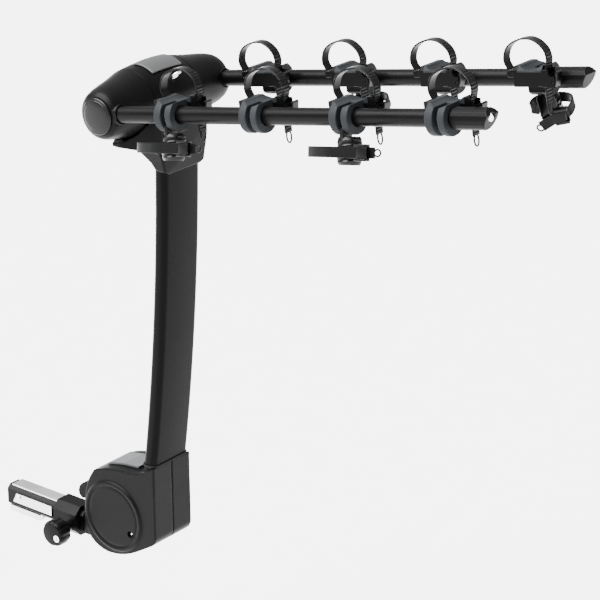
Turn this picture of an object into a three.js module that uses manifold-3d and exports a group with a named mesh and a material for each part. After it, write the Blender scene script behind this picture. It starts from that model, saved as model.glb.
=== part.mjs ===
// Hitch mounted bike rack for four bikes, in millimetres, +Z up.
// The origin is on the receiver tube's axis at its free end. +X points away from the vehicle,
// -Y is the vehicle's left side. The mast stands on a tilting base, and a hub at its top
// carries two arms that fold down together.

import * as THREE from 'three';
import { mergeVertices } from 'three/addons/utils/BufferGeometryUtils.js';
import Module from 'manifold-3d';

// Receiver tube and its adapters
const RECEIVER_SIZE = 50.8;
const TUBE_LENGTH = 172;
const TUBE_HEIGHT = 38;
const TUBE_WIDTH = 32;
const TUBE_CHAMFER = 6;
const TUBE_WALL = 6;
const TUBE_TOP = 23;
const ADAPTER_WIDTH = 24;
const ADAPTERS = { top: [8, 110], bottom: [1, 70] };
const COLLAR = { start: 114, end: 164, width: 50, height: 52, chamfer: 12 };
const WEDGE_LENGTH = 88;
const WEDGE_TRAVEL = 6;

// Clamp knob, on a shaft along Y
const KNOB = { x: 153, z: -0.8 };
const KNOB_RADIUS = 22.3;
const KNOB_FACE = 71;
const KNOB_SHAFT_RADIUS = 8;
const LOCK_OFFSET = { x: 11.2, z: -4.6 };
const LOCK_RADIUS = 5.9;
const LOCK_DEPTH = 14.6;

// Tilting base
const PIVOT = { x: 270, z: 64 };
const DRUM_RADIUS = 66;
const BASE_HALF_WIDTH = 44;
const COVER_WALL = 2.6;
const PIN_RADIUS = 8;

// Mast: a flat oval tube bent to one large radius
const MAST_WIDTH = 82;
const MAST_DEPTH = 24;
const MAST_CORNER = 9;
const MAST_WALL = 2.5;
const MAST_BEND_RADIUS = 4212;
const MAST_APEX = { x: 379.5, z: 725 };
const MAST_BOTTOM = 96;
const MAST_TOP = 700;

// Hub and arms
const HUB = { x: 333, z: 765 };
const HOUSING_HALF = 50;
const HOUSING_RADIUS = 55;
const HUB_WALL = 5;
const HUB_SKEW = 0.12;
const HOUSING_CROWN = 3.5;
const LOOP = { angle: THREE.MathUtils.degToRad(40), y: -4, reach: 66, cable: 2.2 };
const HUB_END = 132;
const CAP_RADIUS = 28;
const CAP_RISE = 6;
const AXLE_RADIUS = 8;
const ARM_TILT = THREE.MathUtils.degToRad(10.57);
const ARM_Y = 118;
const ARM_RADIUS = 12.5;
const ARM_BORE = ARM_RADIUS + 0.6;
const ARM_WALL = 2.2;
const ARM_START = 8;
const ARM_LENGTH = 690;
const ARM_TIP = { start: 644, end: 705 };
const TIP_RADIUS = 15.4;

// Cradles along an arm. Each is drawn at its own station, with the arm tube's axis as X,
// the outboard side at -Y and the strap on the inboard side.
const FIRST_CRADLE = 150;
const CRADLE_PITCH = 160;
const CRADLES = 4;
const CRADLE_HALF = 27;
const WRAP = { low: -20, high: 12 };
const CRADLE_RADIUS = 24;
const CRADLE_INBOARD = 38;
const SADDLE_RIM = 24;
const SADDLE_RADIUS = 24;
const SADDLE_HEIGHT = 41;
const SLOT = { x: -3, half: 4, core: 16.8, edge: 14 };
const STRAP_Y = 29;
const STRAP_WIDTH = 15;
const STRAP_THICKNESS = 2.4;
const LEVER_PIN = { x: 36, z: 1 };
const LEVER_PIN_RADIUS = 1.8;

// Anti-sway cages. Each is drawn upright below the arm tube's axis and then swung outboard.
const CAGE_HANG = THREE.MathUtils.degToRad(15);
const CAGE_RING = 16;
const CAGE_AXIS = { x: -1, y: 2 };
const CAGE_RADIUS = 18;
const CAGE_WALL = 2.5;
const CAGE_TOP = -26;
const CAGE_BOTTOM = -65;
const CAGE_STRAP_Z = -47.5;
const CAGE_STRAP_WIDTH = 15;
const CAGE_STATIONS = { left: [1, 3], right: [2, 4] };

// Each side's cage strap: the route from the shell to its tail, the link from the shell to the
// buckle, and where the buckle sits. A route point is across, inboard and up from the strap's
// height.
const CAGE_STRAPS = {
  left: {
    route: [
      [15.6, 7, 0], [14, 22, 0], [-10, 33, 0], [-52, 33, 0], [-77, 14, 0], [-65, -6, 0],
      [-32, -15.6, 0], [-1, -16.9, 0], [24, -16.2, 0], [40, -15, 0], [54, -14, 0],
    ],
    link: [[7, -13.2, 0], [20, -13.2, 0], [30, -13.2, 0]],
    buckle: { x: 35, y: -15.6, flip: 0, turn: 0 },
    pull: { x: 58, y: -13.8, z: 0 },
  },
  right: {
    route: [
      [15.8, 5, 0], [27, 7, 3], [29, -6, 5], [18, -19, 6], [-1, -21.5, 6], [-18, -20.5, 6],
      [-31, -13, 6], [-38, 0, 5], [-38, 13, 2], [-29, 21.4, 0], [-12, 26.5, -7], [2, 28.7, -14],
    ],
    link: [[-17.4, 4, 0], [-23, 13, 0], [-31, 17.6, 0]],
    buckle: { x: -29.5, y: 21.2, flip: Math.PI, turn: 0.4 },
    pull: { x: 4.6, y: 28.9, z: -16 },
  },
};
const BUCKLE_PIN = { x: -4, y: -4.8 };

const GAP = 0.3;

const wasm = await Module();
wasm.setup();

// ---- solids ----

function toManifold(geometry) {
  const bare = geometry.clone();
  bare.deleteAttribute('normal');
  bare.deleteAttribute('uv');
  const merged = mergeVertices(bare, 1e-4);
  return new wasm.Manifold(new wasm.Mesh({
    numProp: 3,
    vertProperties: new Float32Array(merged.attributes.position.array),
    triVerts: new Uint32Array(merged.index.array),
  }));
}

function toGeometry(manifold) {
  const mesh = manifold.getMesh();
  const geometry = new THREE.BufferGeometry();
  geometry.setAttribute('position', new THREE.BufferAttribute(mesh.vertProperties, 3));
  geometry.setIndex(new THREE.BufferAttribute(mesh.triVerts, 1));
  geometry.computeVertexNormals();
  return geometry;
}

function cut(body, ...tools) {
  return toGeometry(tools.reduce((left, tool) => left.subtract(toManifold(tool)), toManifold(body)));
}

function join(body, ...others) {
  return toGeometry(others.reduce((sum, other) => sum.add(toManifold(other)), toManifold(body)));
}

function keep(body, tool) {
  return toGeometry(toManifold(body).intersect(toManifold(tool)));
}

// ---- basic shapes ----

// A box from its lowest to its highest corner.
function block(low, high) {
  const size = high.map((value, i) => value - low[i]);
  const middle = high.map((value, i) => (value + low[i]) / 2);
  return new THREE.BoxGeometry(...size).translate(...middle);
}

// A cylinder along X, Y or Z between two stations.
function rod(axis, radius, from, to, sides = 16) {
  const shape = new THREE.CylinderGeometry(radius, radius, to - from, sides);
  shape.translate(0, (from + to) / 2, 0);
  if (axis === 'x') shape.rotateZ(-Math.PI / 2);
  if (axis === 'z') shape.rotateX(Math.PI / 2);
  return shape;
}

function outline(points) {
  return new THREE.Shape(points.map(([x, y]) => new THREE.Vector2(x, y)));
}

function roundedRectangle(width, height, corner) {
  const [w, h] = [width / 2, height / 2];
  const shape = new THREE.Shape();
  shape.moveTo(w, -h + corner);
  shape.absarc(w - corner, h - corner, corner, 0, Math.PI / 2);
  shape.absarc(-w + corner, h - corner, corner, Math.PI / 2, Math.PI);
  shape.absarc(-w + corner, -h + corner, corner, Math.PI, 1.5 * Math.PI);
  shape.absarc(w - corner, -h + corner, corner, 1.5 * Math.PI, 2 * Math.PI);
  return shape;
}

function chamferedRectangle(width, height, chamfer) {
  const [w, h, c] = [width / 2, height / 2, chamfer];
  return outline([
    [w, -h + c], [w, h - c], [w - c, h], [-w + c, h],
    [-w, h - c], [-w, -h + c], [-w + c, -h], [w - c, -h],
  ]);
}

function plank(shape, depth, curveSegments = 6) {
  return new THREE.ExtrudeGeometry(shape, { depth, bevelEnabled: false, curveSegments });
}

// A side view in X and Z, extruded along Y from low to high.
function sidePlate(shape, low, high, curveSegments) {
  return plank(shape, high - low, curveSegments).rotateX(Math.PI / 2).translate(0, high, 0);
}

// A section in Y and Z, extruded along X from low to high.
function bar(shape, low, high, curveSegments) {
  const length = plank(shape, high - low, curveSegments);
  return length.rotateY(Math.PI / 2).rotateX(Math.PI / 2).translate(low, 0, 0);
}

// A body of revolution about the Y axis, from an outline of radius and height. An outline
// that stays clear of the axis makes a ring.
function turned(points, sides = 24) {
  const profile = points.map(([r, y]) => new THREE.Vector2(r, y));
  if (THREE.ShapeUtils.area(profile) < 0) profile.reverse();
  if (profile[0].x > 0) profile.push(profile[0]);
  return new THREE.LatheGeometry(profile, sides);
}

function curve(points) {
  return new THREE.CatmullRomCurve3(points.map((point) => new THREE.Vector3(...point)));
}

// A flat band along a curve, with its width in the direction across, as far as the curve allows.
function band(path, across, width, thickness, steps) {
  const [w, t] = [width / 2, thickness / 2];
  const section = outline([[-w, -t], [w, -t], [w, t], [-w, t]]);
  path.computeFrenetFrames = (count) => {
    const tangents = Array.from({ length: count + 1 }, (_, i) => path.getTangentAt(i / count));
    const normals = tangents.map((tangent) => across.clone().projectOnPlane(tangent).normalize());
    const binormals = tangents.map((tangent, i) => tangent.clone().cross(normals[i]));
    return { tangents, normals, binormals };
  };
  return new THREE.ExtrudeGeometry(section, { steps, bevelEnabled: false, extrudePath: path });
}

const ALONG_Y = new THREE.Vector3(0, 1, 0);
const ALONG_Z = new THREE.Vector3(0, 0, 1);

const rack = new THREE.Group();

function add(parent, name, geometry, colour, roughness, metalness) {
  const material = new THREE.MeshStandardMaterial({ color: colour, roughness, metalness });
  const mesh = new THREE.Mesh(geometry, material);
  mesh.name = name;
  parent.add(mesh);
  return mesh;
}

const blackCoat = [0x1a1a1b, 0.5, 0.4];
const blackPlastic = [0x18191a, 0.65, 0];
const greyRubber = [0x6d7478, 0.8, 0];
const silver = [0xc9cacc, 0.3, 0.9];

// ---- receiver tube, adapters and clamp ----

function receiverTube() {
  const middle = TUBE_TOP - TUBE_HEIGHT / 2;
  const outer = bar(chamferedRectangle(TUBE_WIDTH, TUBE_HEIGHT, TUBE_CHAMFER), 0, TUBE_LENGTH);
  const [halfWidth, halfHeight] = [TUBE_WIDTH / 2 - TUBE_WALL, TUBE_HEIGHT / 2 - TUBE_WALL];
  const bore = block([-1, -halfWidth, -halfHeight], [TUBE_LENGTH + 1, halfWidth, halfHeight]);
  const window = wedgeSolid(-GAP, WEDGE_TRAVEL + GAP, -TUBE_WIDTH, -halfWidth + 1);
  const shaftHole = rod('y', KNOB_SHAFT_RADIUS + GAP, -TUBE_WIDTH, 0).translate(KNOB.x, 0, KNOB.z - middle);
  return cut(outer, bore, window, shaftHole).translate(0, 0, middle);
}

// The sliding wedge in the tube's left wall, grown at its two ends by the given amounts.
function wedgeSolid(before, after, low, high) {
  const [bottom, top, slant, start] = [-9, 8, 8, 12];
  const margin = -before;
  const shape = outline([
    [start - margin, bottom - margin], [start + WEDGE_LENGTH + after, bottom - margin],
    [start + WEDGE_LENGTH + after, top + margin], [start + slant - margin, top + margin],
  ]);
  return sidePlate(shape, low, high);
}

function wedge() {
  const middle = TUBE_TOP - TUBE_HEIGHT / 2;
  const plate = wedgeSolid(0, 0, -TUBE_WIDTH / 2 + 0.4, -TUBE_WIDTH / 2 + TUBE_WALL + 1);
  const boltHole = rod('y', 2.6, -TUBE_WIDTH, 0, 12).translate(26, 0, 2);
  return cut(plate, boltHole).translate(0, 0, middle);
}

function adapterTop() {
  const [start, end] = ADAPTERS.top;
  return block([start, -ADAPTER_WIDTH / 2, TUBE_TOP + GAP], [end, ADAPTER_WIDTH / 2, RECEIVER_SIZE / 2]);
}

function adapterBottom() {
  const top = TUBE_TOP - TUBE_HEIGHT - GAP;
  const [start, end] = ADAPTERS.bottom;
  const plain = block([start, -ADAPTER_WIDTH / 2, -RECEIVER_SIZE / 2], [end, ADAPTER_WIDTH / 2, top]);
  const hole = rod('x', 2, end - 15, end + 1, 12).translate(0, -3, (top - RECEIVER_SIZE / 2) / 2);
  return cut(plain, hole);
}

function clampCollar() {
  const middle = TUBE_TOP - TUBE_HEIGHT / 2;
  const { start, end, width, height, chamfer } = COLLAR;
  const outer = bar(chamferedRectangle(width, height, chamfer), start, end);
  const innerShape = chamferedRectangle(TUBE_WIDTH + 2 * GAP, TUBE_HEIGHT + 2 * GAP, TUBE_CHAMFER);
  const inner = bar(innerShape, start - 1, end + 1);
  const shaftHole = rod('y', KNOB_SHAFT_RADIUS + GAP, -40, 0).translate(KNOB.x, 0, KNOB.z - middle);
  return cut(outer, inner, shaftHole).translate(0, 0, middle);
}

function clampKnob() {
  const shoulder = -KNOB_FACE + 25;
  const profile = [
    [0, 0], [KNOB_SHAFT_RADIUS, 0], [KNOB_SHAFT_RADIUS, shoulder], [KNOB_RADIUS - 4, shoulder - 1],
    [KNOB_RADIUS, shoulder - 6], [KNOB_RADIUS, -KNOB_FACE + 8], [KNOB_RADIUS - 3, -KNOB_FACE + 2],
    [KNOB_RADIUS - 7, -KNOB_FACE], [0, -KNOB_FACE],
  ];
  const lockHole = rod('y', LOCK_RADIUS + 0.4, -KNOB_FACE - 5, -KNOB_FACE + LOCK_DEPTH + GAP);
  return cut(turned(profile), lockHole.translate(LOCK_OFFSET.x, 0, LOCK_OFFSET.z));
}

function lockCylinder() {
  const core = rod('y', LOCK_RADIUS, -KNOB_FACE - 0.6, -KNOB_FACE + LOCK_DEPTH);
  return core.translate(LOCK_OFFSET.x, 0, LOCK_OFFSET.z);
}

const receiver = new THREE.Group();
rack.add(receiver);
add(receiver, 'receiver_tube', receiverTube(), ...blackCoat);
add(receiver, 'adapter_top', adapterTop(), ...silver);
add(receiver, 'adapter_bottom', adapterBottom(), ...silver);
add(receiver, 'wedge', wedge(), ...silver);
add(receiver, 'clamp_collar', clampCollar(), ...blackPlastic);
add(receiver, 'clamp_knob', clampKnob(), ...blackPlastic).position.set(KNOB.x, 0, KNOB.z);
add(receiver, 'lock_cylinder', lockCylinder(), ...silver).position.set(KNOB.x, 0, KNOB.z);

// ---- pivot bracket, pin and tilt lever ----

const PLATE_HALF = 14;
const YOKE_INNER = PLATE_HALF + 0.6;
const YOKE_OUTER = YOKE_INNER + 5;
const LEVER_PIVOT = { x: 212, z: 84, radius: 3, lug: 4 };

function pivotBracket() {
  const shape = new THREE.Shape();
  shape.moveTo(TUBE_LENGTH + GAP, -14);
  shape.lineTo(TUBE_LENGTH + 26, -14);
  shape.lineTo(PIVOT.x + 10, PIVOT.z - 33);
  shape.absarc(PIVOT.x, PIVOT.z, 34, -1.25, 1.9);
  shape.lineTo(TUBE_LENGTH + GAP, 22);
  const bore = rod('y', PIN_RADIUS + 0.4, -60, 60).translate(PIVOT.x, 0, PIVOT.z);
  const { x, z, radius, lug } = LEVER_PIVOT;
  const ear = sidePlate(outline([[x - 12, 44], [x + 14, 60], [x + 6, z + 6], [x - 6, z + 6]]), -lug, lug);
  const leverPin = rod('y', radius, -12, 12, 12).translate(x, 0, z);
  return cut(join(sidePlate(shape, -PLATE_HALF, PLATE_HALF), ear, leverPin), bore);
}

function pivotPin() {
  const head = YOKE_OUTER + 0.5;
  const profile = [
    [0, -head - 4], [12, -head - 4], [12, -head], [PIN_RADIUS, -head],
    [PIN_RADIUS, head], [12, head], [12, head + 4], [0, head + 4],
  ];
  return turned(profile, 24).translate(PIVOT.x, 0, PIVOT.z);
}

function tiltLever() {
  const shape = new THREE.Shape();
  shape.moveTo(218, 94);
  shape.lineTo(184, 80);
  shape.quadraticCurveTo(164, 78, 161, 62);
  shape.quadraticCurveTo(160, 50, 170, 48);
  shape.quadraticCurveTo(180, 49, 186, 61);
  shape.lineTo(210, 72);
  shape.lineTo(221, 82);
  const plate = sidePlate(shape, -12, 12, 4);
  const { x, z, radius, lug } = LEVER_PIVOT;
  const bore = rod('y', radius + 0.4, -20, 20, 12).translate(x, 0, z);
  const fork = block([x - 16, -lug - 0.5, 40], [x + 20, lug + 0.5, 110]);
  return cut(plate, bore, fork);
}

add(receiver, 'pivot_bracket', pivotBracket(), ...blackCoat);
add(receiver, 'pivot_pin', pivotPin(), ...silver);
add(receiver, 'tilt_lever', tiltLever(), ...blackPlastic);

// ---- base covers ----

// The covers' side outline, drawn inset by the given distance.
function coverOutline(inset) {
  const shape = new THREE.Shape();
  shape.moveTo(356 - inset, 168 - inset);
  shape.lineTo(357 - inset, 44 + inset);
  shape.quadraticCurveTo(356 - inset, 33 + inset, 344 - inset, 26 + inset);
  shape.lineTo(313 - inset / 2, 6.5 + inset);
  const drum = [
    [291, -4], [268, -10], [246, -10.5], [226, -3.5], [213, 8], [207, 23], [204, 41], [204, 62], [207, 84],
    [214, 107],
  ];
  shape.splineThru(drum.map(([x, z]) => {
    const [dx, dz] = [PIVOT.x - x, PIVOT.z - z];
    const step = inset / Math.hypot(dx, dz);
    return new THREE.Vector2(x + dx * step, z + dz * step);
  }));
  const top = [[226, 128], [248, 137], [274, 142.5], [306, 146], [321, 149], [336, 156], [349, 164]];
  for (const [x, z] of top) shape.lineTo(x + (x < 240 ? inset : 0), z - inset);
  return shape;
}

// The slot through both covers that the bracket and the tilt lever stand in, at every tilt.
function bracketSlot() {
  const shape = new THREE.Shape();
  const [start, end] = [2.45, 4.85];
  shape.moveTo(PIVOT.x, PIVOT.z);
  shape.lineTo(PIVOT.x + 90 * Math.cos(start), PIVOT.z + 90 * Math.sin(start));
  shape.absarc(PIVOT.x, PIVOT.z, 90, start, end);
  return sidePlate(shape, -PLATE_HALF - 1.2, PLATE_HALF + 1.2);
}

// One cover with its outer face at -Y; it is mirrored for the other side.
function baseCover() {
  const shell = sidePlate(coverOutline(0), -BASE_HALF_WIDTH, -GAP / 2);
  const inside = sidePlate(coverOutline(COVER_WALL), -BASE_HALF_WIDTH + COVER_WALL, 1);
  const disc = rod('y', DRUM_RADIUS - 6, -BASE_HALF_WIDTH - 3, -BASE_HALF_WIDTH + 1, 36);
  disc.translate(PIVOT.x, 0, PIVOT.z);
  const mastHole = block([327, -MAST_WIDTH / 2 - 0.8, 140], [355.2, 10, 200]);
  const boltHole = rod('y', 6, -60, -BASE_HALF_WIDTH - 0.5, 12).translate(PIVOT.x + 35, 0, PIVOT.z - 27);
  return cut(join(shell, disc), inside, mastHole, bracketSlot(), boltHole);
}

function baseInsert() {
  const rise = GAP + 0.2;
  const thickness = 3;
  const shape = outline([
    [240, 134 + rise], [248, 137.2 + rise], [274, 142.8 + rise], [306, 146.3 + rise],
    [306, 146.3 + rise + thickness], [274, 142.8 + rise + thickness], [247, 137.2 + rise + thickness],
    [240, 134 + rise + thickness],
  ]);
  return sidePlate(shape, -23, 23);
}

// ---- mast ----

// The mast's centre line, started and ended past its ends by the given length.
class MastLine extends THREE.Curve {
  constructor(past) {
    super();
    this.past = past;
  }

  getPoint(t, target = new THREE.Vector3()) {
    const z = MAST_BOTTOM - this.past + t * (MAST_TOP - MAST_BOTTOM + 2 * this.past);
    const rise = z - MAST_APEX.z;
    const sag = MAST_BEND_RADIUS - Math.sqrt(MAST_BEND_RADIUS ** 2 - rise ** 2);
    return target.set(MAST_APEX.x - sag, 0, z);
  }
}

function mastSweep(width, depth, corner, past = 0) {
  const shape = roundedRectangle(width, depth, corner);
  const extrudePath = new MastLine(past);
  return new THREE.ExtrudeGeometry(shape, { steps: 8, bevelEnabled: false, extrudePath, curveSegments: 2 });
}

function mastTube() {
  const outer = mastSweep(MAST_WIDTH, MAST_DEPTH, MAST_CORNER);
  const [innerWidth, innerDepth] = [MAST_WIDTH - 2 * MAST_WALL, MAST_DEPTH - 2 * MAST_WALL];
  const inner = mastSweep(innerWidth, innerDepth, MAST_CORNER - MAST_WALL, 6);
  const shape = new THREE.Shape();
  shape.moveTo(352, 100);
  shape.lineTo(349, 60);
  shape.lineTo(PIVOT.x + 10, PIVOT.z - 22);
  shape.absarc(PIVOT.x, PIVOT.z, 24, -1.15, -1.15 - 3.6, true);
  shape.lineTo(322, 118);
  shape.lineTo(344, 118);
  const yokes = [-1, 1].map((side) => {
    const [a, b] = [side * YOKE_INNER, side * YOKE_OUTER];
    return sidePlate(shape, Math.min(a, b), Math.max(a, b));
  });
  const bore = rod('y', PIN_RADIUS + 0.4, -60, 60).translate(PIVOT.x, 0, PIVOT.z);
  return cut(join(cut(outer, inner), ...yokes), bore);
}

const mast = new THREE.Group();
rack.add(mast);
add(mast, 'base_cover_left', baseCover(), ...blackPlastic);
add(mast, 'base_cover_right', baseCover(), ...blackPlastic).scale.y = -1;
add(mast, 'base_insert', baseInsert(), ...greyRubber);
add(mast, 'mast_tube', mastTube(), ...blackCoat);

// ---- head: housing, neck, release panel and cable loop ----

const head = new THREE.Group();
head.position.set(HUB.x, 0, HUB.z);
rack.add(head);

// The housing's crowned outside, grown by the given amount, from -Y to +Y.
function housingLine(grow) {
  const stations = [-1, -0.5, 0, 0.5, 1];
  return stations.map((t) => [HOUSING_RADIUS + grow - HOUSING_CROWN * t * t, HOUSING_HALF * t]);
}

function housing() {
  const inner = HOUSING_RADIUS - HUB_WALL - HOUSING_CROWN;
  const shell = turned([...housingLine(0), [inner, HOUSING_HALF], [inner, -HOUSING_HALF]], 32);
  const boreHole = rod('x', LOOP.cable + GAP, 30, 80, 8).rotateY(-LOOP.angle).translate(0, LOOP.y, 0);
  return cut(shell, boreHole);
}

// Half of the hub's outline, from the housing's edge to the cap, as radius and distance from
// the middle.
const HUB_PROFILE = [
  [51.5, 50.3], [50.5, 55], [46, 77], [41.5, 104], [38.5, 118], [34.5, 128], [30, HUB_END],
];

// The neck clasps the mast's top and widens into wings below the hub cones.
function neck() {
  const right = [[36, -103], [45, -98], [49, -82], [54, -66], [94, -55], [94, -30], [60, -18]];
  const left = right.map(([y, z]) => [-y, z]).reverse();
  const front = outline([...right, ...left]);
  const side = outline([
    [36, -87], [42, -97], [56, -103], [62, -103], [64, -80], [61, -18],
    [-25, -18], [-25, -50], [8, -64],
  ]);
  const plan = outline([
    [62, -50], [64, 0], [62, 50], [56, 60], [18, 94], [2, 94], [-20, 60],
    [-26, 0], [-20, -60], [2, -94], [18, -94], [56, -60],
  ]);
  const frontSolid = bar(front, -30, 70);
  const planSolid = plank(plan, 120).translate(0, 0, -130);
  return keep(keep(frontSolid, sidePlate(side, -100, 100)), planSolid);
}

function neckShell() {
  const half = HUB_PROFILE.map(([r, y]) => [r + HUB_SKEW * (y - HOUSING_HALF) + 0.7, y]);
  const middle = housingLine(0.6);
  const swallow = turned([
    [0, -HUB_END], ...half.map(([r, y]) => [r, -y]).reverse(), ...middle, ...half, [0, HUB_END],
  ], 32);
  const mastSpace = mastSweep(MAST_WIDTH + 2 * GAP, MAST_DEPTH + 2 * GAP, MAST_CORNER, 6);
  mastSpace.translate(-HUB.x, 0, -HUB.z);
  return cut(neck(), swallow, mastSpace);
}

// A curved lever that lies on the housing's top.
function releasePanel() {
  const shell = turned([...housingLine(3), ...housingLine(GAP).reverse()], 32);
  const [start, end, reach] = [0.78, 1.75, 90];
  const sector = outline([
    [0, 0], [reach * Math.cos(start), reach * Math.sin(start)], [0.6 * reach, reach], [0, 1.2 * reach],
    [reach * Math.cos(end), reach * Math.sin(end)],
  ]);
  return keep(shell, sidePlate(sector, -39, 44));
}

// The lock cable's end loop, drawn with its stub along -X.
function cableLoop() {
  const ring = new THREE.TorusGeometry(6.5, LOOP.cable, 6, 12).scale(1.25, 1, 1);
  return join(ring, rod('x', LOOP.cable, -30, -7.5, 8));
}

add(head, 'head_housing', housing(), ...blackPlastic);
add(head, 'head_neck', neckShell(), ...blackPlastic);
add(head, 'release_panel', releasePanel(), ...greyRubber);
add(head, 'hub_axle', rod('y', AXLE_RADIUS, -HUB_END + 1, HUB_END - 1), ...silver);
const loop = add(head, 'cable_loop', cableLoop(), ...silver);
loop.position.set(LOOP.reach * Math.cos(LOOP.angle), LOOP.y, LOOP.reach * Math.sin(LOOP.angle));
loop.rotation.y = -LOOP.angle;

// ---- folding arms ----

const arms = new THREE.Group();
arms.rotation.y = -ARM_TILT;
head.add(arms);

// The cones and caps lean towards +X as they leave the housing.
function skewed(geometry) {
  const position = geometry.attributes.position;
  for (let i = 0; i < position.count; i += 1) {
    const lean = HUB_SKEW * Math.max(0, -position.getY(i) - HOUSING_HALF);
    position.setX(i, position.getX(i) + lean);
  }
  return geometry;
}

// One hub cone with its small end at -Y.
function hubCone() {
  const outer = HUB_PROFILE.map(([r, y]) => [r, -y]);
  const inner = [HUB_PROFILE[4], HUB_PROFILE[2], HUB_PROFILE[0]].map(([r, y]) => [r - HUB_WALL, -y]);
  const floor = -HUB_END + HUB_WALL;
  const rim = [HUB_PROFILE[0][0] - HUB_WALL, -HUB_PROFILE[0][1]];
  const shell = skewed(turned([[0, -HUB_END], ...outer.reverse(), [0, rim[1]]]));
  const hollow = skewed(turned([[0, floor], [29, floor], ...inner, [0, rim[1] + 1]]));
  const beyond = block([0, -150, -30], [60, -HUB_END, 30]);
  const collar = cut(rod('x', ARM_RADIUS + 5, 20, 54).translate(0, -ARM_Y, 0), hollow, beyond);
  const armSpace = rod('x', ARM_RADIUS + GAP, ARM_START - 1, 80).translate(0, -ARM_Y, 0);
  const axleHole = rod('y', AXLE_RADIUS + 0.4, -HUB_END - 1, -100);
  return cut(join(cut(shell, hollow), collar), armSpace, axleHole);
}

// A shallow dome that closes the cone's small end.
function endCap() {
  const seat = -HUB_END - GAP;
  return skewed(turned([
    [0, seat - CAP_RISE], [18, seat - CAP_RISE + 0.6], [CAP_RADIUS - 3, seat - CAP_RISE + 2],
    [CAP_RADIUS, seat - 2], [CAP_RADIUS, seat], [0, seat],
  ]));
}

const sides = [['left', 1], ['right', -1]].map(([name, mirror]) => {
  const group = new THREE.Group();
  group.scale.y = mirror;
  arms.add(group);
  const arm = new THREE.Group();
  arm.position.y = -ARM_Y;
  group.add(arm);
  return { name, mirror, group, arm };
});

function armTube() {
  const bore = rod('x', ARM_RADIUS - ARM_WALL, ARM_START - 1, ARM_LENGTH + 1, 20);
  return cut(rod('x', ARM_RADIUS, ARM_START, ARM_LENGTH, 20), bore);
}

// The cap at the arm's free end, with a seat for the lock core where there is one.
function armTip(hasLock) {
  const { start, end } = ARM_TIP;
  const body = keep(rod('x', TIP_RADIUS, start, end + 1), sidePlate(outline([
    [start, -16], [end - 12, -16], [end, 6], [end - 6, 16], [start, 16],
  ]), -20, 20));
  const seat = rod('x', ARM_RADIUS + GAP, start - 1, ARM_LENGTH + GAP);
  if (!hasLock) return cut(body, seat);
  return cut(body, seat, rod('x', 6.4, ARM_LENGTH + 1, end + 1).translate(0, 0, 2));
}

function armLock() {
  return rod('x', 6, ARM_LENGTH + 1.4, ARM_TIP.end - 4).translate(0, 0, 2);
}

// ---- cradles, straps and buckle levers ----

function cradle() {
  const rimAngle = Math.asin(SADDLE_RIM / CRADLE_RADIUS * 0.999);
  const wrapShape = outline([[16, -17], [16, SADDLE_RIM]]);
  wrapShape.absarc(0, 0, CRADLE_RADIUS, Math.PI - rimAngle, 5.5);
  const wrap = bar(wrapShape, WRAP.low, WRAP.high, 10);
  const edge = [[CRADLE_INBOARD, -5], [CRADLE_INBOARD, 18], [CRADLE_INBOARD - 5, SADDLE_RIM]];
  const seatShape = outline([...edge, [-10, SADDLE_RIM], [-10, 14], [13, 14], [13, -5]]);
  const seat = bar(seatShape, -CRADLE_HALF, WRAP.high);
  const horn = bar(outline([...edge, [17, SADDLE_RIM], [17, -5]]), WRAP.high - 1, CRADLE_HALF);
  const lug = block([-38, STRAP_Y - 8.5, 8], [-CRADLE_HALF + 1, CRADLE_INBOARD - 0.5, 17.5]);
  const buckle = block([20, STRAP_Y - 9, -6], [31, CRADLE_INBOARD, 19]);
  const cheek = 1.7;
  const cheeks = [STRAP_Y - 9, CRADLE_INBOARD - cheek].map((y) => block([30, y, -6], [40, y + cheek, 10]));
  const { x, half, core } = SLOT;
  const slot = block([x - half, -40, -40], [x + half, SLOT.edge, 40]);
  return cut(
    join(wrap, seat, horn, lug, buckle, ...cheeks),
    rod('x', ARM_BORE, -CRADLE_HALF - 1, CRADLE_HALF + 1, 12),
    rod('y', SADDLE_RADIUS, -60, 60, 20).translate(0, 0, SADDLE_HEIGHT),
    slot,
    rod('x', core, x - half, x + half, 12),
    block([20.8, STRAP_Y - 8, -30], [26.2, STRAP_Y + 8, 40]),
    block([25.5, STRAP_Y - 8, 12], [34, STRAP_Y + 8, 40]),
    rod('y', LEVER_PIN_RADIUS + GAP, 10, 45, 8).translate(LEVER_PIN.x, 0, LEVER_PIN.z),
  );
}

// A ring to pull a strap's end by, lying in X and Y.
function pullRing(radius, stretch) {
  return new THREE.TorusGeometry(radius, 1.3, 4, 10).scale(stretch, 1, 1);
}

// The ratchet strap, from its foot on the cradle over the loop to its tail below the buckle.
function strap() {
  const line = curve([
    [-35, 0, 18.2], [-40.5, 0, 32], [-33.5, 0, 50], [-13, 0, 61], [9, 0, 60.5], [25.5, 0, 47],
    [29.5, 0, 33], [26, 0, 20], [23.5, 0, 8], [23.2, 0, -14], [22.6, 0, -30],
  ]);
  const flat = band(line, ALONG_Y, STRAP_WIDTH, STRAP_THICKNESS, 17);
  const pull = pullRing(5, 1.7).rotateY(Math.PI / 2).translate(22.3, 0, -36);
  return join(flat, pull).translate(0, STRAP_Y, 0);
}

function buckleLever() {
  const shape = outline([[32.2, -1.5], [38, -6], [41, 2], [44, 14], [41, 16], [37, 7], [32, 4]]);
  const plate = sidePlate(shape, STRAP_Y - 6.9, STRAP_Y + 6.9);
  const pin = rod('y', LEVER_PIN_RADIUS, STRAP_Y - 8.6, STRAP_Y + 8.6, 8);
  return join(plate, pin.translate(LEVER_PIN.x, 0, LEVER_PIN.z));
}

// ---- anti-sway cages ----

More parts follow.
